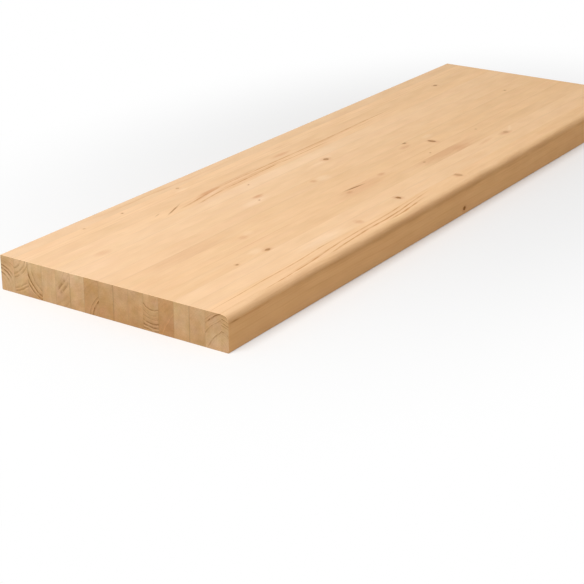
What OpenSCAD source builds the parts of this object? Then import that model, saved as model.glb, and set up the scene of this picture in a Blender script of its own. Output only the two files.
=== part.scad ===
// Edge-glued solid spruce board for treads and shelves.
// Full-length staves stand side by side, glued face to face. The glued panel is ripped to width,
// which leaves a narrow stave along the nosing, and that long top edge is rounded over.
// All lengths are millimetres. X runs across the staves, Y along the grain, Z up from the underside.

/* [Board] */
// Length of the board along the grain
board_length = 1000; // [400:10:3000]
// Thickness of the board from underside to top
board_thickness = 40; // [27:1:60]
// Radius of the rounded top edge along the nosing
nosing_radius = 8; // [2:0.5:20]
// Flat sanded on the three other long edges
edge_break = 0.8; // [0.3:0.1:3]

/* [Staves] */
// Width of a full stave
stave_width = 19.4; // [15:0.1:45]
// Number of full staves, counted from the back edge
full_staves = 15; // [3:1:40]
// Width of the narrow stave that is left along the nosing
nosing_stave_width = 9; // [5:0.5:45]

/* [Hidden] */
nosing_index = full_staves;

board_width = full_staves * stave_width + nosing_stave_width;
back_edge_x = -board_width / 2;

// Tones of the planed wood, which the staves take in turn
stave_tones = [
    [0.95, 0.80, 0.62],
    [0.96, 0.82, 0.65],
    [0.93, 0.77, 0.58],
    [0.95, 0.79, 0.60],
    [0.92, 0.75, 0.56]
];

// Sides of a full circle at the rounded edge
nosing_facets = 96;

// Triangle that sanding takes off a long edge; the edge itself lies at the origin
module edge_waste() {
    polygon([[0, 0], [edge_break, 0], [0, edge_break]]);
}

// The panel's section with the nosing rounded over, from the back edge at the origin
module rounded_section() {
    square([board_width, board_thickness - nosing_radius]);
    square([board_width - nosing_radius, board_thickness]);
    translate([board_width - nosing_radius, board_thickness - nosing_radius])
        circle(r = nosing_radius, $fn = nosing_facets);
}

// Finished section of the whole board, with its three square edges broken
module board_section() {
    difference() {
        rounded_section();
        edge_waste();
        translate([0, board_thickness])
            mirror([0, 1])
                edge_waste();
        translate([board_width, 0])
            mirror([1, 0])
                edge_waste();
    }
}

// The share of the board's section that belongs to stave i, counted from 0 at the back edge
module stave_section(i) {
    width = i == nosing_index ? nosing_stave_width : stave_width;
    intersection() {
        board_section();
        translate([i * stave_width, 0])
            square([width, board_thickness]);
    }
}

// One stave, run along the grain at its place in the board
module stave(i) {
    color(stave_tones[i % len(stave_tones)])
        translate([back_edge_x, 0, 0])
            rotate([90, 0, 0])
                linear_extrude(height = board_length, center = true)
                    stave_section(i);
}

for (i = [0 : nosing_index])
    stave(i);
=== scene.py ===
"""Looks of an edge-glued spruce board, lying flat on a pale floor.

Every stave gets a mesh with eased arrises in the place of its solid, and a spruce material of its own.
The wood is a solid pattern: growth rings run round a pith line that lies beside or in the stave, so the top,
the long edges and the end grain of a stave all show the same rings. Meshes are in metres. The stave list and
the materials work in millimetres, counted along from the near end, across from the back edge and down from
the top.
"""
import math
from typing import NamedTuple, Sequence

import bmesh
import bpy
from mathutils import Matrix, Vector


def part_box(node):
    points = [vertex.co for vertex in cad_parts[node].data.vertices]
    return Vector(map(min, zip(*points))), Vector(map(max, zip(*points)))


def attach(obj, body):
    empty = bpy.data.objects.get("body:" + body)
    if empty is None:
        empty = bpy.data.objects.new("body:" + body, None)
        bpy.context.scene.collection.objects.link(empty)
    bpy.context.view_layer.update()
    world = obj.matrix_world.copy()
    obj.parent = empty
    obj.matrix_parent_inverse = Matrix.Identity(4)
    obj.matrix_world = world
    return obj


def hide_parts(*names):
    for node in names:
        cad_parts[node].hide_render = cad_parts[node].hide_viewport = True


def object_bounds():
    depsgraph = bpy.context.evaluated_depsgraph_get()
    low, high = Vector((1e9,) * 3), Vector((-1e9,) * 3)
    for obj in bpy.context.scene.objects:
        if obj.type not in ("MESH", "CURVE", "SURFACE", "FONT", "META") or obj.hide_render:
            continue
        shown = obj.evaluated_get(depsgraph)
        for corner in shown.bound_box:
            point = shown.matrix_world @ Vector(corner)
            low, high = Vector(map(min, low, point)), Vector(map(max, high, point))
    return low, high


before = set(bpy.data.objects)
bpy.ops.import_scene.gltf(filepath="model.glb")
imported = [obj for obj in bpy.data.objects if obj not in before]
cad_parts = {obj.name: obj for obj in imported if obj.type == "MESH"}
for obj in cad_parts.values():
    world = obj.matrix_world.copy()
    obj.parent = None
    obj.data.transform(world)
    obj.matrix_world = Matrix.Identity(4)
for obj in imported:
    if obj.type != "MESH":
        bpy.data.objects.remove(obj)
CAD_LOW, CAD_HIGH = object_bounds()
# Millimetres in a metre
MM = 1000

# Section of the board, in metres
NOSING_RADIUS = 0.008
NOSING_SEGMENTS = 24
EDGE_BREAK = 0.0008
END_EASE = 0.0004
END_EASE_SEGMENTS = 3
SHARP_ANGLE = math.radians(50)

# Colours of the wood, linear
EARLY_WOOD = (0.925, 0.61, 0.355)
LATE_WOOD = (0.60, 0.27, 0.09)
PALE_WOOD = (0.985, 0.69, 0.445)
RED_WOOD = (0.68, 0.325, 0.16)
DARK_WOOD = (0.30, 0.10, 0.004)
# Painted shade that darkens and warms the planed faces toward the far end
FAR_END_SHADE = (0.97, 0.94, 0.865)
END_PALE = (0.72, 0.52, 0.325)
END_BROWN = (0.52, 0.30, 0.14)
END_LATE = (0.27, 0.13, 0.042)
KNOT_HEART = (0.37, 0.165, 0.03)
KNOT_RIM = (0.25, 0.092, 0.004)
WHITE = (1.0, 1.0, 1.0)


class Knot(NamedTuple):
    """Branch that the surface cuts across."""

    along: float
    across: float
    radius: float
    dark: float  # from 0 to 1
    stretch: float = 0.8  # below 1 the knot is drawn out along the grain, above 1 across it
    down: float = 0  # above 0 the knot is on the nosing face


class Patch(NamedTuple):
    """Soft streak of other wood, given by its middle and half its size."""

    along: float
    across: float
    length: float
    width: float
    strength: float
    slope: float = 0  # how far the streak moves across for its length
    down: float = 0  # above 0 the streak is on the nosing face, and its width runs down


class Mark(NamedTuple):
    """Ring that stands out in the end grain."""

    radius: float
    strength: float  # below 0 only the pale wood that follows the ring shows
    width: float = 2.4


class Trace(NamedTuple):
    """Ring that shows as a line on the planed faces, from start to end along the board."""

    radius: float
    start: float
    end: float
    strength: float
    drift: float = 0  # how much the radius grows from start to end
    width: float = 0.55


class Stave(NamedTuple):
    """Where a stave's rings run, its tones, and what stands out in its wood."""

    node: str
    pith: tuple  # across and down, at the near end
    spacing: float  # between rings
    lean: tuple  # how far the pith moves across and up in a metre
    brown: float  # share of the browner tone in the end grain
    painted_end_shade: float  # painted shade: how much browner the end is at the underside than at the top
    tone: float = 1.0  # lightness of the planed faces
    warm: float = 0.0  # how far the planed faces lean to orange
    faces: float = 0.05  # how strongly the rings show on the planed faces
    ends: float = 0.25  # how strongly the rings show on the ends
    marks: Sequence = ()
    focus: tuple = None  # across, down and reach of the place on the end where the marks show
    traces: Sequence = ()
    knots: Sequence = ()
    lines: Sequence = ()  # where the rings stand out on the top
    red: Sequence = ()
    pale: Sequence = ()
    dark: Sequence = ()
    glue: float = 0.08  # how dark the seam on the nosing side is


STAVES = [
    Stave("back_stave", pith=(-3, 36), spacing=4.3, lean=(1.0, -1.5), tone=0.98, warm=-0.05,
          brown=0.22, painted_end_shade=-0.1,
          marks=[Mark(17.6, 0.8), Mark(22.2, 1.0), Mark(26.1, 0.9), Mark(31.6, 0.45), Mark(35.8, 0.4)],
          focus=(3, 17, 14), lines=[Patch(270, 9, 130, 9, 0.28)]),
    Stave("stave_2", pith=(8, -10), spacing=4.4, lean=(-2.0, 1.0), tone=1.035, warm=-0.03,
          brown=0.22, painted_end_shade=0.5, ends=0.2,
          marks=[Mark(24.5, 0.5), Mark(29.9, 0.45), Mark(33.9, 0.4), Mark(45.2, 0.45), Mark(48.8, 0.5)],
          knots=[Knot(111, 22.2, 1.2, 0.3), Knot(174.6, 24.7, 1.05, 0.6), Knot(281, 22.6, 1.6, 0.34)],
          pale=[Patch(278, 30, 16, 5, 0.6)]),
    Stave("stave_3", pith=(70, 5), spacing=6.2, lean=(1.0, 2.0), tone=0.988,
          brown=0.36, painted_end_shade=0.6, ends=0.12,
          marks=[Mark(26.4, 0.45), Mark(32.2, 1.0), Mark(36.4, 0.85)], focus=(48, 25, 24),
          knots=[Knot(872, 49, 2.3, 0.65, 0.7)],
          red=[Patch(462, 50, 26, 5, 0.5), Patch(350, 58, 75, 2.6, 0.4)]),
    Stave("stave_4", pith=(160, 25), spacing=5.6, lean=(-24.0, 0.0), tone=1.02,
          brown=0.26, painted_end_shade=0.2, ends=0.10,
          traces=[Trace(88.5, 235, 320, 0.9, 7.6, 2.6), Trace(96.1, 320, 700, 0.8, -8.1, 2.0),
                  Trace(81.8, 255, 310, 0.7, 4.0, 2.0), Trace(85.8, 310, 430, 0.9, 1.0, 2.2),
                  Trace(86.8, 430, 530, 0.7, -2.9, 1.8)],
          lines=[Patch(335, 66, 125, 13, 0.35), Patch(560, 64, 190, 8, 0.3)],
          red=[Patch(290, 61.3, 32, 4.2, 0.6, -0.08), Patch(330, 66, 120, 14, 0.16)],
          pale=[Patch(90, 68, 110, 22, 0.3), Patch(290, 68, 32, 3.0, 0.6, -0.1)],
          dark=[Patch(217, 66.2, 21, 1.6, 0.75, -0.32), Patch(192, 62, 9, 1.4, 0.35, -0.25)]),
    Stave("stave_5", pith=(40, -20), spacing=5.5, lean=(3.0, 0.0), tone=1.02, warm=-0.05,
          brown=0.33, painted_end_shade=0.45, ends=0.2,
          marks=[Mark(58.5, 0.6, 4.5), Mark(63.8, 0.55, 4.0)], focus=(88, 17, 10),
          knots=[Knot(339, 85.7, 0.8, 0.75)], red=[Patch(64, 89, 17, 8, 0.32)],
          pale=[Patch(440, 87, 260, 22, 0.55), Patch(515, 88, 18, 8, 0.5)], glue=0.2),
    Stave("stave_6", pith=(85, -25), spacing=4.0, lean=(-2.0, 2.0), tone=1.02, warm=-0.05,
          brown=0.27, painted_end_shade=0.5, ends=0.12,
          knots=[Knot(477, 108.4, 2.8, 0.66, 0.7)],
          pale=[Patch(458, 110, 18, 3, 0.7), Patch(488, 105, 10, 2, 0.5)]),
    Stave("stave_7", pith=(157, 44), spacing=5.0, lean=(1.5, -1.0), tone=1.005, warm=-0.02,
          brown=0.72, painted_end_shade=0.1, ends=0.15,
          marks=[Mark(30.4, 1.0), Mark(34.1, 0.5, 1.4)], focus=(131, 28, 17),
          knots=[Knot(300, 128.6, 0.8, 0.85)], red=[Patch(310, 119.5, 12, 6, 0.65)],
          pale=[Patch(291, 127, 37, 10, 0.8)]),
    Stave("stave_8", pith=(150, 75), spacing=3.0, lean=(2.0, 1.0), brown=0.68, painted_end_shade=0.4, ends=0.12,
          knots=[Knot(905, 147, 1.3, 0.55)], red=[Patch(394, 143.3, 7, 6, 0.45)],
          pale=[Patch(412, 146, 16, 9, 0.9)], glue=0.2),
    Stave("stave_9", pith=(120, 80), spacing=2.6, lean=(-1.0, 1.5), tone=0.985, warm=0.025,
          brown=0.63, painted_end_shade=0.25, ends=0.12,
          knots=[Knot(592, 156.6, 2.2, 0.66)],
          red=[Patch(112, 165, 85, 24, 0.2), Patch(578, 166, 16, 7, 0.4)],
          pale=[Patch(637, 166, 16, 7, 0.7)]),
    Stave("stave_10", pith=(210, -40), spacing=2.8, lean=(2.0, 1.0), warm=0.03,
          brown=0.66, painted_end_shade=0.35, ends=0.15,
          knots=[Knot(621, 182, 3.0, 0.76, 1.6)], red=[Patch(187, 186, 8, 6, 0.3)],
          pale=[Patch(202, 182, 12, 7, 0.6), Patch(635, 168, 20, 8, 0.5)]),
    Stave("stave_11", pith=(205.8, 3), spacing=4.3, lean=(1.0, -2.0), tone=0.995, warm=0.04,
          brown=0.56, painted_end_shade=0.35, ends=0.15,
          marks=[Mark(13.5, 0.7, 1.8), Mark(19.3, 0.35, 1.8), Mark(23.4, 0.4, 1.8), Mark(28.4, 0.85),
                 Mark(32.2, 0.85), Mark(35.6, 0.7, 1.8)],
          knots=[Knot(575, 204.9, 1.0, 0.45), Knot(703, 204, 1.0, 0.45)],
          red=[Patch(464, 197, 9, 6, 0.5), Patch(383, 202, 8, 4, 0.6), Patch(410, 203, 70, 16, 0.35),
               Patch(170, 204, 120, 0.8, 0.35)],
          dark=[Patch(402, 197.3, 23, 1.7, 0.85, 0.13)]),
    Stave("stave_12", pith=(285, 62), spacing=5.0, lean=(-2.0, 1.0), tone=0.98, warm=0.04,
          brown=0.86, painted_end_shade=0.25, ends=0.12, marks=[Mark(69.5, -0.9)],
          knots=[Knot(171, 228.9, 2.05, 0.65, 0.6), Knot(116, 227.6, 1.35, 0.62), Knot(536, 218, 1.1, 0.55)],
          red=[Patch(590, 219, 95, 18, 0.42), Patch(617, 227, 26, 8, 0.36)],
          pale=[Patch(160, 221, 14, 9, 0.7)]),
    Stave("stave_13", pith=(180, 90), spacing=2.2, lean=(1.0, 1.0), tone=1.025, warm=-0.03,
          brown=0.38, painted_end_shade=0.35, ends=0.12, knots=[Knot(713, 243.5, 3.0, 0.3)],
          red=[Patch(710, 244.5, 18, 7, 0.6), Patch(660, 241, 30, 4, 0.3, -0.05)],
          pale=[Patch(735, 238.5, 14, 3, 0.7, -0.45)], glue=0.2),
    Stave("stave_14", pith=(330, 70), spacing=2.4, lean=(-1.0, 2.0), tone=1.02, warm=-0.02,
          brown=0.48, painted_end_shade=0.2, ends=0.12,
          knots=[Knot(398, 259.8, 2.5, 0.9, 1.3), Knot(934, 263, 2.6, 0.65)],
          red=[Patch(301, 265, 8, 9, 0.45)], pale=[Patch(235, 260, 56, 13, 0.8)]),
    Stave("stave_15", pith=(318, 58), spacing=3.0, lean=(-40.0, 0.0), tone=1.02, warm=0.04,
          brown=0.30, painted_end_shade=-0.3, ends=0.15,
          marks=[Mark(47.4, 0.55, 1.8), Mark(58, 0.5, 1.8), Mark(64.6, 0.95, 1.8), Mark(67.4, 0.3, 1.4)],
          focus=(282, 16, 26),
          traces=[Trace(70.7, 15, 250, 0.9, -1.7), Trace(63.4, 80, 385, 1.0, 1.2),
                  Trace(61.5, 195, 425, 1.0, 0.8), Trace(60.3, 335, 410, 0.9)],
          knots=[Knot(514, 278.5, 3.0, 0.36, 1.6)], red=[Patch(512, 279, 10, 6, 0.35)], glue=0.0),
    Stave("nosing_stave", pith=(285, 40), spacing=2.4, lean=(-2.0, 0.5), tone=1.0, warm=0.06,
          brown=0.28, painted_end_shade=-0.05, faces=0.16,
          marks=[Mark(23.2, 0.55, 1.7), Mark(29.6, 0.5, 1.5), Mark(32, 0.75, 1.5),
                 Mark(35.4, 0.85, 1.5), Mark(39.4, 0.45, 1.5)],
          focus=(296, 12, 19), knots=[Knot(491, 300, 2.0, 1.0, 0.8, 32.3)],
          red=[Patch(40, 300, 38, 1.5, 0.35, 0, 9)],
          dark=[Patch(11, 300, 11, 1.6, 0.5, 0, 8.5), Patch(400, 300, 620, 7, 0.29, 0, 6)]),
]


class Rings(NamedTuple):
    """Sockets that say what the growth rings are at a point."""

    radius: object  # distance from the pith
    late: object  # late wood, from 0 to 1
    strength: object  # how strong the ring is
    dark: object  # dark wood of a marked ring
    pale: object  # pale wood after a marked ring


class Graph:
    """Builds a node tree in few words. A value may be a socket, which is linked, or a number or colour."""

    def __init__(self, tree):
        self.tree = tree

    def node(self, kind, values=(), **settings):
        node = self.tree.nodes.new(kind)
        for name, value in settings.items():
            setattr(node, name, value)
        for key, value in dict(values).items():
            self.plug(value, node.inputs[key])
        return node

    def plug(self, value, socket):
        if isinstance(value, bpy.types.NodeSocket):
            self.tree.links.new(value, socket)
        else:
            socket.default_value = value

    def math(self, operation, *values, clamp=False):
        node = self.node("ShaderNodeMath", enumerate(values), operation=operation, use_clamp=clamp)
        return node.outputs[0]

    def vector(self, operation, *values):
        node = self.node("ShaderNodeVectorMath", enumerate(values), operation=operation)
        return node.outputs["Value" if operation in ("LENGTH", "DOT_PRODUCT") else "Vector"]

    def scaled(self, vector, factor):
        values = {"Vector": vector, "Scale": factor}
        return self.node("ShaderNodeVectorMath", values, operation="SCALE").outputs[0]

    def part(self, vector, axis):
        return self.node("ShaderNodeSeparateXYZ", {0: vector}).outputs[axis]

    def noise(self, at, detail, coloured=False):
        """Noise about zero, as a number or as three numbers."""
        node = self.node("ShaderNodeTexNoise", {"Vector": at, "Scale": 1.0, "Detail": detail})
        if coloured:
            return self.vector("SUBTRACT", node.outputs[1], (0.5, 0.5, 0.5))
        return self.math("SUBTRACT", node.outputs[0], 0.5)

    def noise_along(self, w):
        values = {"W": w, "Scale": 1.0, "Detail": 1.0}
        node = self.node("ShaderNodeTexNoise", values, noise_dimensions="1D")
        return self.math("SUBTRACT", node.outputs[0], 0.5)

    def chance(self, w):
        return self.node("ShaderNodeTexWhiteNoise", {"W": w}, noise_dimensions="1D").outputs["Value"]

    def ramp(self, value, low, high, start=0.0, end=1.0, kind="LINEAR"):
        values = {"Value": value, "From Min": low, "From Max": high, "To Min": start, "To Max": end}
        return self.node("ShaderNodeMapRange", values, interpolation_type=kind).outputs[0]

    def smooth(self, value, low, high, start=0.0, end=1.0):
        return self.ramp(value, low, high, start, end, "SMOOTHSTEP")

    def mix(self, factor, first, second):
        values = {0: factor, 6: self.colour(first), 7: self.colour(second)}
        return self.node("ShaderNodeMix", values, data_type="RGBA").outputs[2]

    @staticmethod
    def colour(value):
        return (*value, 1.0) if isinstance(value, tuple) and len(value) == 3 else value


def board_point(along, across, down):
    """A place on the board, in millimetres of the row frame."""
    low = CAD_LOW * MM
    high = CAD_HIGH * MM
    return (low.x + across, low.y + along, high.z - down)


def grain_noise(g, place, cell, shift=(0, 0, 0), detail=2.0, coloured=False):
    """Noise about zero, in cells that have a size across and a size along the grain."""
    across, along = cell
    at = g.vector("MULTIPLY_ADD", place, (1 / across, 1 / along, 1 / across), shift)
    return g.noise(at, detail, coloured)


# How uneven a knot's outline is, and in cells of which size, in shares of the knot's radius
KNOT_RAGGED = 1.1
KNOT_CELL_SHARE = 1.25
# Way that a branch runs where it comes out of the top, and out of the nosing face
KNOT_AXIS = Vector((0.2, 0.3, 1.0)).normalized()
SIDE_KNOT_AXIS = Vector((1.0, 0.3, 0.2)).normalized()


def knot_share(g, place, knot):
    """Distance from a knot's axis, a little uneven, in shares of the knot's radius."""
    axis = tuple(SIDE_KNOT_AXIS if knot.down else KNOT_AXIS)
    offset = g.vector("SUBTRACT", place, board_point(knot.along, knot.across, knot.down))
    offset = g.vector("MULTIPLY", offset, (1.0 / max(knot.stretch, 1.0), min(knot.stretch, 1.0), 1.0))
    along_axis = g.scaled(axis, g.vector("DOT_PRODUCT", offset, axis))
    away = g.vector("LENGTH", g.vector("SUBTRACT", offset, along_axis))
    uneven = g.noise(g.scaled(place, 1 / (KNOT_CELL_SHARE * knot.radius)), detail=3.0)
    return g.math("MULTIPLY_ADD", uneven, KNOT_RAGGED, g.math("DIVIDE", away, knot.radius))


# How deep a patch goes and the cells that fray it, in millimetres, and its frayed edge in shares of its size
PATCH_DEPTH = 14
PATCH_CELL = (3.3, 33)
PATCH_RAGGED = 0.9
PATCH_EDGE = (0.1, 1.1)


def patch_mask(g, place, patch):
    """Soft, ragged streak drawn out along the grain, as strong as the patch says at its middle."""
    offset = g.vector("SUBTRACT", place, board_point(patch.along, patch.across, patch.down))
    if patch.slope:
        skew = g.math("MULTIPLY", g.part(offset, "Y"), -patch.slope)
        offset = g.vector("ADD", offset, g.node("ShaderNodeCombineXYZ", {"X": skew}).outputs[0])
    across, down = (PATCH_DEPTH, patch.width) if patch.down else (patch.width, PATCH_DEPTH)
    reach = g.vector("MULTIPLY", offset, (1 / across, 1 / patch.length, 1 / down))
    ragged = grain_noise(g, place, PATCH_CELL, detail=3.0)
    away = g.math("MULTIPLY_ADD", ragged, PATCH_RAGGED, g.vector("LENGTH", reach))
    return g.smooth(away, *PATCH_EDGE, patch.strength, 0.0)


# How far the rings stray from circles round a straight line, in millimetres, and in cells of which size
PITH_WANDER = 7.0
PITH_CELL = (math.inf, 240)
WANDER_START = 200
RING_SWERVE = 2.6
SWERVE_CELL = (8, 110)
# The same round a knot, in shares of its radius
KNOT_SWERVE = 1.1
KNOT_SWERVE_REACH = (0.6, 4.0)


def ring_radius(g, place, stave, seed, shares):
    """Distance from the stave's pith line, which wanders. The rings swerve round the knots."""
    pith = board_point(0, *stave.pith)
    lean = (stave.lean[0] / MM, 1.0, stave.lean[1] / MM)
    along = g.math("SUBTRACT", g.part(place, "Y"), pith[1])
    pith_line = g.vector("ADD", g.scaled(lean, along), pith)
    wander = grain_noise(g, place, PITH_CELL, (seed, 0, seed * 2), detail=1.0, coloured=True)
    wander = g.scaled(wander, g.smooth(along, 0, WANDER_START, 0.0, PITH_WANDER))
    swerve = grain_noise(g, place, SWERVE_CELL, (seed * 3, 0, seed), coloured=True)
    bend = g.vector("ADD", wander, g.scaled(swerve, RING_SWERVE))
    radial = g.vector("ADD", g.vector("SUBTRACT", place, pith_line), bend)
    radius = g.vector("LENGTH", g.vector("MULTIPLY", radial, (1, 0, 1)))
    for share, knot in zip(shares, stave.knots):
        pushed = g.smooth(share, *KNOT_SWERVE_REACH, KNOT_SWERVE * knot.radius, 0.0)
        radius = g.math("ADD", radius, pushed)
    return radius


# Years differ in width and strength, and a ring fades here and there
WIDTH_CHANGES = 0.45
WIDTH_UNEVEN = 1.1
FAINTEST_RING = 0.25
RING_FADE_CELL = (9, 70)
RING_FADE = (-0.2, 0.1)
FADED_RING = 0.35
# Late wood comes slowly and ends sharply, in shares of a year
LATE_RISE = (0.4, 0.93)
LATE_RISE_POWER = 1.5
LATE_FALL = (0.95, 1.0)


def growth_rings(g, place, radius, stave, seed):
    """Late wood at a point, from 0 to 1, and how strong the ring is there."""
    years = g.math("DIVIDE", radius, stave.spacing)
    uneven = g.noise_along(g.math("MULTIPLY_ADD", years, WIDTH_CHANGES, seed))
    count = g.math("MULTIPLY_ADD", uneven, WIDTH_UNEVEN, years)
    season = g.math("FRACT", count)
    chance = g.chance(g.math("ADD", g.math("FLOOR", count), seed))
    strength = g.math("MULTIPLY_ADD", chance, 1.0 - FAINTEST_RING, FAINTEST_RING)
    fade = grain_noise(g, place, RING_FADE_CELL, (seed, seed, 0))
    strength = g.math("MULTIPLY", strength, g.smooth(fade, *RING_FADE, FADED_RING, 1.0))
    rise = g.math("POWER", g.smooth(season, *LATE_RISE), LATE_RISE_POWER)
    return g.math("MULTIPLY", rise, g.smooth(season, *LATE_FALL, 1.0, 0.0)), strength


# A marked ring and the pale wood after it, in shares of the ring's width
MARK_RISE = (-1.0, -0.04)
MARK_FALL = (0.04, 0.2)
AFTER_MARK_RISE = (0.12, 0.35)
AFTER_MARK_FALL = (0.4, 1.0)
MARK_FADE_CELL = (5, 60)
MARK_FADE = (-0.2, 0.05)
FADED_MARK = 0.25
# Where the marks end round their focus, in shares of its reach
FOCUS_INNER = 0.55
FOCUS_OUTER = 1.15


def marked_rings(g, place, radius, stave, seed):
    """Dark late wood of the rings that stand out, and the pale early wood that follows each of them."""
    dark = 0.0
    pale = 0.0
    for mark in stave.marks:
        off = g.math("DIVIDE", g.math("SUBTRACT", radius, mark.radius), mark.width)
        rise = g.smooth(off, *MARK_RISE, 0.0, max(mark.strength, 0.0))
        dark = g.math("MAXIMUM", dark, g.math("MULTIPLY", rise, g.smooth(off, *MARK_FALL, 1.0, 0.0)))
        rise = g.smooth(off, *AFTER_MARK_RISE, 0.0, abs(mark.strength))
        pale = g.math("MAXIMUM", pale, g.math("MULTIPLY", rise, g.smooth(off, *AFTER_MARK_FALL, 1.0, 0.0)))
    fade = grain_noise(g, place, MARK_FADE_CELL, (0, seed, seed))
    shown = g.smooth(fade, *MARK_FADE, FADED_MARK, 1.0)
    if stave.focus:
        across, down, reach = stave.focus
        offset = g.vector("SUBTRACT", place, board_point(0, across, down))
        away = g.vector("LENGTH", g.vector("MULTIPLY", offset, (1, 0, 1)))
        inside = g.smooth(away, FOCUS_INNER * reach, FOCUS_OUTER * reach, 1.0, 0.0)
        shown = g.math("MULTIPLY", shown, inside)
    return g.math("MULTIPLY", dark, shown), g.math("MULTIPLY", pale, shown)


# A line on the faces, in shares of its width
TRACE_RISE = (-1.0, -0.1)
TRACE_FALL = (0.1, 0.5)
# How it fades at its ends, in millimetres and at most a share of its length, and where it is broken
TRACE_FADE = 30
TRACE_FADE_SHARE = 0.2
TRACE_BREAK_CELL = (4, 18)
TRACE_BREAK = (-0.15, 0.1)
BROKEN_TRACE = 0.45


def traced_rings(g, place, radius, stave, seed):
    """Lines on the planed faces, where the late wood of a ring comes to the surface."""
    along = g.math("SUBTRACT", g.part(place, "Y"), CAD_LOW.y * MM)
    gaps = grain_noise(g, place, TRACE_BREAK_CELL, (seed, seed, seed))
    broken = g.smooth(gaps, *TRACE_BREAK, BROKEN_TRACE, 1.0)
    shown = 0.0
    for trace in stave.traces:
        ring = g.ramp(along, trace.start, trace.end, trace.radius, trace.radius + trace.drift)
        off = g.math("DIVIDE", g.math("SUBTRACT", radius, ring), trace.width)
        line = g.math("MULTIPLY", g.smooth(off, *TRACE_RISE), g.smooth(off, *TRACE_FALL, trace.strength, 0.0))
        fade = min(TRACE_FADE, TRACE_FADE_SHARE * (trace.end - trace.start))
        begun = g.smooth(along, trace.start - fade, trace.start + fade)
        ended = g.smooth(along, trace.end - fade, trace.end + fade, 1.0, 0.0)
        shown = g.math("MAXIMUM", shown, g.math("MULTIPLY", line, g.math("MULTIPLY", begun, ended)))
    return g.math("MULTIPLY", shown, broken)


# How much of a marked ring shows on the faces, and what the faintest ring shows where the lines are
MARK_ON_FACES = 0.25
FAINTEST_LINE = 0.5
# Soft clouds and streaks of lighter and darker wood on the planed faces
CLOUD_CELL = (12, 50)
CLOUD_TINT = (0.155, 0.215, 0.30)
HUE_CELL = (12, 70)
HUE_TINT = (0.04, 0.03, 0.08)
STREAK_CELL = (2.8, 60)
STREAK_SHADE = 0.03
# Share of the blue's change that the green follows where the wood leans to orange
WARM_GREEN = 1 / 3


def long_grain(g, place, stave, seed, rings):
    """Colour of the planed faces, where the fibres lie along the surface."""
    contrast = g.math("MULTIPLY", rings.strength, stave.faces)
    for patch in stave.lines:
        shown = g.math("MULTIPLY_ADD", rings.strength, 1.0 - FAINTEST_LINE, FAINTEST_LINE)
        contrast = g.math("MULTIPLY_ADD", patch_mask(g, place, patch), shown, contrast)
    late = g.math("MULTIPLY", rings.late, contrast)
    late = g.math("MULTIPLY_ADD", rings.dark, MARK_ON_FACES, late, clamp=True)
    if stave.traces:
        late = g.math("MAXIMUM", late, traced_rings(g, place, rings.radius, stave, seed))
    colour = g.mix(late, EARLY_WOOD, LATE_WOOD)
    for patches, wood in ((stave.pale, PALE_WOOD), (stave.red, RED_WOOD), (stave.dark, DARK_WOOD)):
        for patch in patches:
            colour = g.mix(patch_mask(g, place, patch), colour, wood)

    # Painted shade: the planed faces turn darker and warmer toward the far end.
    far = g.ramp(g.part(place, "Y"), CAD_LOW.y * MM, CAD_HIGH.y * MM)
    colour = g.vector("MULTIPLY", colour, g.mix(far, WHITE, FAR_END_SHADE))
    cloud = grain_noise(g, place, CLOUD_CELL, (seed, 0, seed))
    hue = grain_noise(g, place, HUE_CELL, (0, seed, seed), coloured=True)
    tint = g.vector("ADD", g.scaled(CLOUD_TINT, cloud), WHITE)
    tint = g.vector("MULTIPLY_ADD", hue, HUE_TINT, tint)
    tint = g.vector("MULTIPLY", tint, (1.0, 1.0 - WARM_GREEN * stave.warm, 1.0 - stave.warm))
    streaks = grain_noise(g, place, STREAK_CELL, (0, seed, seed), detail=3.0)
    shade = g.math("MULTIPLY_ADD", streaks, STREAK_SHADE, stave.tone)
    return g.scaled(g.vector("MULTIPLY", colour, tint), shade)


# Mottled tone of the sawn ends, and how far their pores, flecks and rings change it
MOTTLE_CELL = (10, 90)
MOTTLE_TINT = (0.36, 0.48, 0.72)
END_HUE_CELL = (14, 90)
END_HUE_TINT = (0.14, 0.10, 0.30)
FLECK_CELL = (1.7, 10)
FLECK_SHADE = 0.26
PORE_SHADE = 0.22
MARK_ON_ENDS = 0.95
AFTER_MARK_SHADE = 0.16


def end_grain(g, place, stave, seed, rings, pores):
    """Colour of the sawn ends, where the rings are cut across, with painted shade that browns them toward the
    underside.
    """
    # Painted shade: the end grain turns browner toward the underside, where less light falls.
    half = stave.painted_end_shade / 2
    height = g.part(place, "Z")
    brown = g.ramp(height, CAD_LOW.z * MM, CAD_HIGH.z * MM, stave.brown + half, stave.brown - half)
    colour = g.mix(brown, END_PALE, END_BROWN)
    mottle = grain_noise(g, place, MOTTLE_CELL, (seed, 0, 0))
    hue = grain_noise(g, place, END_HUE_CELL, (0, seed, 0), detail=1.0, coloured=True)
    tint = g.vector("ADD", g.scaled(MOTTLE_TINT, mottle), WHITE)
    tint = g.vector("MULTIPLY_ADD", hue, END_HUE_TINT, tint)
    colour = g.vector("MULTIPLY", colour, tint)
    late = g.math("MULTIPLY", g.math("MULTIPLY", rings.late, rings.strength), stave.ends)
    colour = g.mix(late, colour, END_LATE)
    colour = g.mix(g.math("MULTIPLY", rings.dark, MARK_ON_ENDS), colour, END_LATE)
    flecks = grain_noise(g, place, FLECK_CELL, (0, 0, seed))
    shade = g.math("MULTIPLY_ADD", pores, PORE_SHADE, 1.0)
    shade = g.math("MULTIPLY_ADD", flecks, FLECK_SHADE, shade)
    shade = g.math("MULTIPLY_ADD", rings.pale, AFTER_MARK_SHADE, shade)
    return g.scaled(colour, shade)


# Parts of a knot from its axis outwards, in shares of its radius
KNOT_CORE = (0.3, 0.9)
KNOT_EDGE = (0.85, 1.3)
KNOT_HALO = (0.9, 3.2)
HALO_SHARE = 0.5


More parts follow.
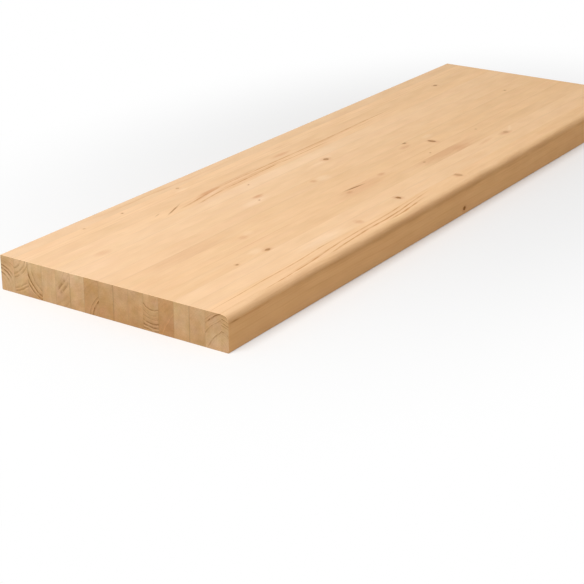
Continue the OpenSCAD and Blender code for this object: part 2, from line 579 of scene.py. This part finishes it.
def add_knots(g, colour, knots, shares):
    """Knots with a dark rim, in a halo of redder wood."""
    for share, knot in zip(shares, knots):
        colour = g.mix(g.smooth(share, *KNOT_HALO, HALO_SHARE * knot.dark, 0.0), colour, RED_WOOD)
        wood = g.mix(g.smooth(share, *KNOT_CORE), KNOT_HEART, KNOT_RIM)
        colour = g.mix(g.smooth(share, *KNOT_EDGE, knot.dark, 0.0), colour, wood)
    return colour


# Where the line of a seam starts to fade and where it ends, in millimetres, and how much of it the faces show
SEAM_INNER = 0.2
SEAM_OUTER = 0.9
SEAM_ON_FACES = 0.3


def add_seams(g, colour, place, index, low, high, end):
    """Thin darker lines of glue where the stave meets its neighbours, strongest on the ends."""
    across = g.part(place, "X")
    back = STAVES[index - 1].glue if index > 0 else 0.0
    front = STAVES[index].glue if index < len(STAVES) - 1 else 0.0
    share = g.math("MULTIPLY_ADD", end, 1.0 - SEAM_ON_FACES, SEAM_ON_FACES)
    for edge, strength in ((low, back), (high, front)):
        away = g.math("ABSOLUTE", g.math("SUBTRACT", across, edge))
        line = g.math("MULTIPLY", g.smooth(away, SEAM_INNER, SEAM_OUTER, strength, 0.0), share)
        colour = g.scaled(colour, g.math("SUBTRACT", 1.0, line))
    return colour


# Every stave's pattern starts at a place of its own
SEED_START = 7.3
SEED_STEP = 11.7
# How far a surface has to face along the board to show end grain
END_FACING = (0.55, 0.9)
FIBRE_CELL = (0.42, 28)
FIBRE_SHADE = 0.12
PORE_CELL = (0.33, 5)
SHEEN_LEVEL = 0.1
FACE_ROUGHNESS = 0.56
END_ROUGHNESS = 0.76
FIBRE_ROUGHNESS = 0.12
# Height of the fine relief, in millimetres
LATE_RELIEF = 0.03
FIBRE_RELIEF = 0.04
PORE_RELIEF = 0.12
RELIEF_STRENGTH = 0.6


def spruce(stave, index, low, high):
    """The wood of one stave, which spans low to high across the board, in millimetres of the row frame."""
    material = bpy.data.materials.new("spruce_" + stave.node)
    material.use_nodes = True
    g = Graph(material.node_tree)
    shader = material.node_tree.nodes["Principled BSDF"]
    place = g.scaled(g.node("ShaderNodeTexCoord").outputs["Object"], MM)
    seed = SEED_START + SEED_STEP * index

    shares = [knot_share(g, place, knot) for knot in stave.knots]
    radius = ring_radius(g, place, stave, seed, shares)
    late, strength = growth_rings(g, place, radius, stave, seed)
    dark, pale = marked_rings(g, place, radius, stave, seed) if stave.marks else (0.0, 0.0)
    rings = Rings(radius, late, strength, dark, pale)

    fibres = grain_noise(g, place, FIBRE_CELL, (seed, seed, 0), detail=3.0)
    pores = grain_noise(g, place, PORE_CELL, detail=3.0)
    normal = g.node("ShaderNodeNewGeometry").outputs["Normal"]
    end = g.smooth(g.math("ABSOLUTE", g.part(normal, "Y")), *END_FACING)

    along = long_grain(g, place, stave, seed, rings)
    across = end_grain(g, place, stave, seed, rings, pores)
    colour = g.scaled(g.mix(end, along, across), g.math("MULTIPLY_ADD", fibres, FIBRE_SHADE, 1.0))
    colour = add_knots(g, colour, stave.knots, shares)
    colour = add_seams(g, colour, place, index, low, high, end)
    g.plug(colour, shader.inputs["Base Color"])

    rough = g.math("MULTIPLY_ADD", end, END_ROUGHNESS - FACE_ROUGHNESS, FACE_ROUGHNESS)
    g.plug(g.math("MULTIPLY_ADD", fibres, FIBRE_ROUGHNESS, rough), shader.inputs["Roughness"])
    shader.inputs["Specular IOR Level"].default_value = SHEEN_LEVEL

    relief = g.math("MULTIPLY_ADD", late, LATE_RELIEF, g.math("MULTIPLY", fibres, FIBRE_RELIEF))
    relief = g.math("MULTIPLY_ADD", g.math("MULTIPLY", pores, end), PORE_RELIEF, relief)
    bump = g.node("ShaderNodeBump", {"Height": relief, "Strength": RELIEF_STRENGTH, "Distance": 1 / MM})
    g.plug(bump.outputs[0], shader.inputs["Normal"])
    return material


def stave_section(index, low, high):
    """Corners of a stave's section, each with the way in which the eased ends draw it back."""
    if index == 0:
        return [
            (low.x + EDGE_BREAK, low.z, 0.5, 1), (high.x, low.z, 0, 1),
            (high.x, high.z, 0, -1), (low.x + EDGE_BREAK, high.z, 0.5, -1),
            (low.x, high.z - EDGE_BREAK, 1, -0.5), (low.x, low.z + EDGE_BREAK, 1, 0.5),
        ]
    if index == len(STAVES) - 1:
        corners = [
            (low.x, low.z, 0, 1), (high.x - EDGE_BREAK, low.z, -0.5, 1),
            (high.x, low.z + EDGE_BREAK, -1, 0.5),
        ]
        for step in range(NOSING_SEGMENTS + 1):
            turn = math.pi / 2 * step / NOSING_SEGMENTS
            x = high.x - NOSING_RADIUS * (1 - math.cos(turn))
            z = high.z - NOSING_RADIUS * (1 - math.sin(turn))
            corners.append((x, z, -math.cos(turn), -math.sin(turn)))
        return corners + [(low.x, high.z, 0, -1)]
    return [(low.x, low.z, 0, 1), (high.x, low.z, 0, 1), (high.x, high.z, 0, -1), (low.x, high.z, 0, -1)]


def stave_stations(low, high):
    """Places along the stave where its section is drawn, with how far it is drawn back there."""
    eased = []
    for step in range(END_EASE_SEGMENTS + 1):
        turn = math.pi / 2 * step / END_EASE_SEGMENTS
        eased.append((END_EASE * (1 - math.cos(turn)), END_EASE * (1 - math.sin(turn))))
    near = [(low.y + along, inset) for along, inset in eased]
    far = [(high.y - along, inset) for along, inset in reversed(eased)]
    return near + far


def stave_mesh(name, index, low, high):
    """The section run along the stave, closed at both ends."""
    corners = stave_section(index, low, high)
    built = bmesh.new()
    loops = []
    for y, inset in stave_stations(low, high):
        loops.append([
            built.verts.new((x + inset * back_x, y, z + inset * back_z)) for x, z, back_x, back_z in corners
        ])
    for loop, following in zip(loops, loops[1:]):
        for k in range(len(corners)):
            after = (k + 1) % len(corners)
            built.faces.new((loop[k], loop[after], following[after], following[k]))
    built.faces.new(list(reversed(loops[0])))
    built.faces.new(loops[-1])
    bmesh.ops.recalc_face_normals(built, faces=built.faces)

    mesh = bpy.data.meshes.new(name)
    built.to_mesh(mesh)
    built.free()
    mesh.shade_smooth()
    mesh.set_sharp_from_angle(angle=SHARP_ANGLE)
    return mesh


def make_stave(stave, index):
    """A stave of wood, in the place of its solid."""
    name = "spruce_" + stave.node
    low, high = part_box(stave.node)
    mesh = stave_mesh(name, index, low, high)
    mesh.materials.append(spruce(stave, index, low.x * MM, high.x * MM))
    piece = bpy.data.objects.new(name, mesh)
    bpy.context.scene.collection.objects.link(piece)
    weighted = piece.modifiers.new("weighted_normals", "WEIGHTED_NORMAL")
    weighted.keep_sharp = True
    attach(piece, "root")
    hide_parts(stave.node)


def seen_directly(g):
    """1 for rays that show a surface to the viewer, straight or in gloss or glass, 0 for bounced light."""
    path = g.node("ShaderNodeLightPath")
    mirrored = g.math("MAXIMUM", path.outputs["Is Glossy Ray"], path.outputs["Is Transmission Ray"])
    return g.math("MAXIMUM", path.outputs["Is Camera Ray"], mirrored)


FLOOR_SIZE = 14.0
FLOOR_WHITE = (0.96, 0.96, 0.96)
FLOOR_BOUNCE = (0.60, 0.44, 0.20)
# Share of plain white in what the viewer sees of the floor, near the board and far from it, in metres
GLOW_NEAR = 0.12
GLOW_FAR = 1.0
GLOW_START = 0.2
GLOW_END = 0.55
GLOW_SHAPE = (1.0, 0.6, 0.0)


def make_floor():
    """Pale floor that shows the board's shadow, and throws back a warm, dimmer light than its white would."""
    mesh = bpy.data.meshes.new("floor")
    half = FLOOR_SIZE / 2
    level = CAD_LOW.z
    corners = [(-half, -half, level), (half, -half, level), (half, half, level), (-half, half, level)]
    mesh.from_pydata(corners, [], [(0, 1, 2, 3)])
    floor = bpy.data.objects.new("floor", mesh)
    bpy.context.scene.collection.objects.link(floor)

    material = bpy.data.materials.new("pale_floor")
    material.use_nodes = True
    tree = material.node_tree
    tree.nodes.clear()
    g = Graph(tree)
    seen = seen_directly(g)
    diffuse = g.node("ShaderNodeBsdfDiffuse", {"Color": g.mix(seen, FLOOR_BOUNCE, FLOOR_WHITE)})
    glow = g.node("ShaderNodeEmission", {"Color": g.colour(WHITE), "Strength": 1.0})
    reach = g.vector("MULTIPLY", g.node("ShaderNodeTexCoord").outputs["Object"], GLOW_SHAPE)
    share = g.smooth(g.vector("LENGTH", reach), GLOW_START, GLOW_END, GLOW_NEAR, GLOW_FAR)
    share = g.math("MULTIPLY", seen, share)
    both = g.node("ShaderNodeMixShader", {0: share, 1: diffuse.outputs[0], 2: glow.outputs[0]})
    g.node("ShaderNodeOutputMaterial", {"Surface": both.outputs[0]})
    mesh.materials.append(material)


AMBIENT_LEVEL = 0.44
KEY_PLACE = (-0.3, -2.4, 3.1)
KEY_SIZE = 2.0
KEY_POWER = 95.0


def make_light():
    """Soft key from above the near end, and an even ambient light."""
    lamp = bpy.data.lights.new("key", "AREA")
    lamp.shape = "DISK"
    lamp.size = KEY_SIZE
    lamp.energy = KEY_POWER
    key = bpy.data.objects.new("key", lamp)
    key.location = KEY_PLACE
    key.rotation_euler = (-Vector(KEY_PLACE)).to_track_quat("-Z", "Y").to_euler()
    bpy.context.scene.collection.objects.link(key)

    world = bpy.data.worlds.new("studio")
    world.use_nodes = True
    bpy.context.scene.world = world
    tree = world.node_tree
    tree.nodes.clear()
    g = Graph(tree)
    light = g.node("ShaderNodeBackground", {"Color": g.colour(WHITE), "Strength": AMBIENT_LEVEL})
    backdrop = g.node("ShaderNodeBackground", {"Color": g.colour(WHITE), "Strength": 1.0})
    both = g.node("ShaderNodeMixShader", {0: seen_directly(g), 1: light.outputs[0], 2: backdrop.outputs[0]})
    g.node("ShaderNodeOutputWorld", {"Surface": both.outputs[0]})


CAMERA_PLACE = (0.9668, -1.6194, 0.6361)
CAMERA_TURN = math.radians(33.571)
CAMERA_PITCH = math.radians(22.398)
CAMERA_ROLL = math.radians(0.065)
CAMERA_LENS = 96.013
CAMERA_SENSOR = 36.0


def make_camera():
    """Camera at the near end, on the nosing side, looking down along the board."""
    lens = bpy.data.cameras.new("camera")
    lens.lens = CAMERA_LENS
    lens.sensor_width = CAMERA_SENSOR
    camera = bpy.data.objects.new("camera", lens)
    turned = Matrix.Rotation(CAMERA_TURN, 4, "Z")
    tipped = Matrix.Rotation(math.pi / 2 - CAMERA_PITCH, 4, "X")
    rolled = Matrix.Rotation(CAMERA_ROLL, 4, "Z")
    camera.matrix_world = Matrix.Translation(CAMERA_PLACE) @ turned @ tipped @ rolled
    bpy.context.scene.collection.objects.link(camera)
    bpy.context.scene.camera = camera


bpy.context.scene.view_settings.view_transform = "Standard"
make_camera()
make_light()
make_floor()
for number, one_stave in enumerate(STAVES):
    make_stave(one_stave, number)
